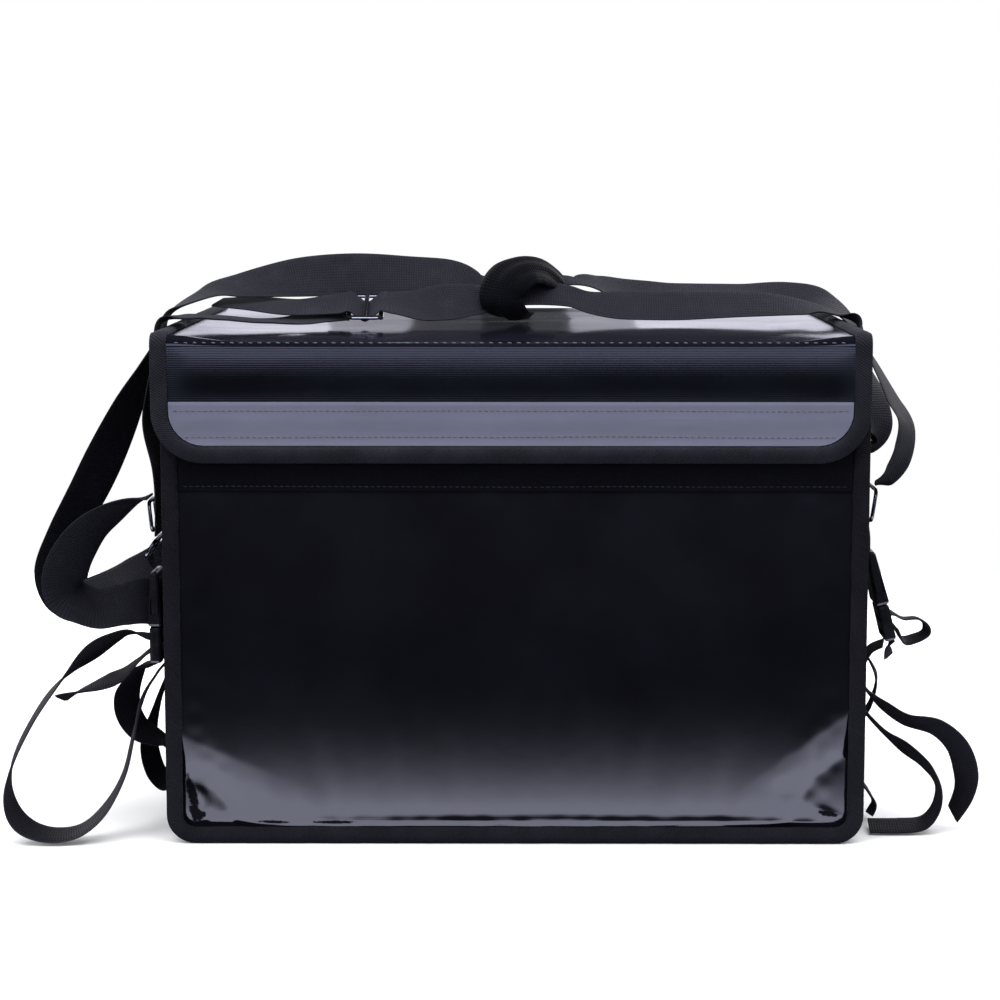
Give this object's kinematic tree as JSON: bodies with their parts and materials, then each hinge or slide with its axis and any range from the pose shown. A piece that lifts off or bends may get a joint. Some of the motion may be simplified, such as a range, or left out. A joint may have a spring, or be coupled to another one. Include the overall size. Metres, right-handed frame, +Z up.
{
  "type": "insulated delivery backpack",
  "caption": "Insulated delivery backpack: a box-shaped padded bag with a bound flap lid, a reflective strip, knotted shoulder webbing and side-release buckles with hanging strap ends",
  "frame": {"origin": "middle of the base's underside, on the surface it stands on", "axes": "+Z up, the bag's front with the flap faces -Y, +X to the bag's right as seen from the front"},
  "size_m": [0.6111, 0.3133, 0.3618],
  "materials": {
    "coated_fabric": "gloss",
    "ripstop_fabric": "satin",
    "matte_fabric": "matte",
    "binding_tape": "matte",
    "reflective_tape": "satin",
    "webbing": "matte",
    "moulded_plastic": "satin",
    "black_steel": "satin",
    "bright_metal": "gloss"
  },
  "bodies": {
    "root": {"adjuster_strap": "webbing", "back_binding": "binding_tape", "back_panel": "matte_fabric", "closure_band": "matte_fabric", "front_binding": "binding_tape", "front_panel": "coated_fabric", "hook_strap": "webbing", "knotted_strap": "webbing", "left_anchor_tape": "webbing", "left_buckle_plug": "moulded_plastic", "left_buckle_socket": "moulded_plastic", "left_buckle_tape": "webbing", "left_hanging_loop": "webbing", "left_hook_link": "black_steel", "left_low_loop": "webbing", "left_ring": "black_steel", "left_short_loop": "webbing", "left_strap_tail": "webbing", "lid_binding": "binding_tape", "lid_flap": "ripstop_fabric", "lid_top": "coated_fabric", "reflective_strip": "reflective_tape", "right_anchor_tape": "webbing", "right_bow": "webbing", "right_buckle_plug": "moulded_plastic", "right_buckle_socket": "moulded_plastic", "right_buckle_tape": "webbing", "right_bulging_tape": "webbing", "right_floor_loop": "webbing", "right_lower_tail": "webbing", "right_lower_tape": "webbing", "right_ring": "black_steel", "right_strap_end": "webbing", "right_upper_tail": "webbing", "shoulder_strap": "webbing", "side_base_gusset": "coated_fabric", "strap_knot": "webbing", "top_slider": "bright_metal"}
  },
  "joints": []
}
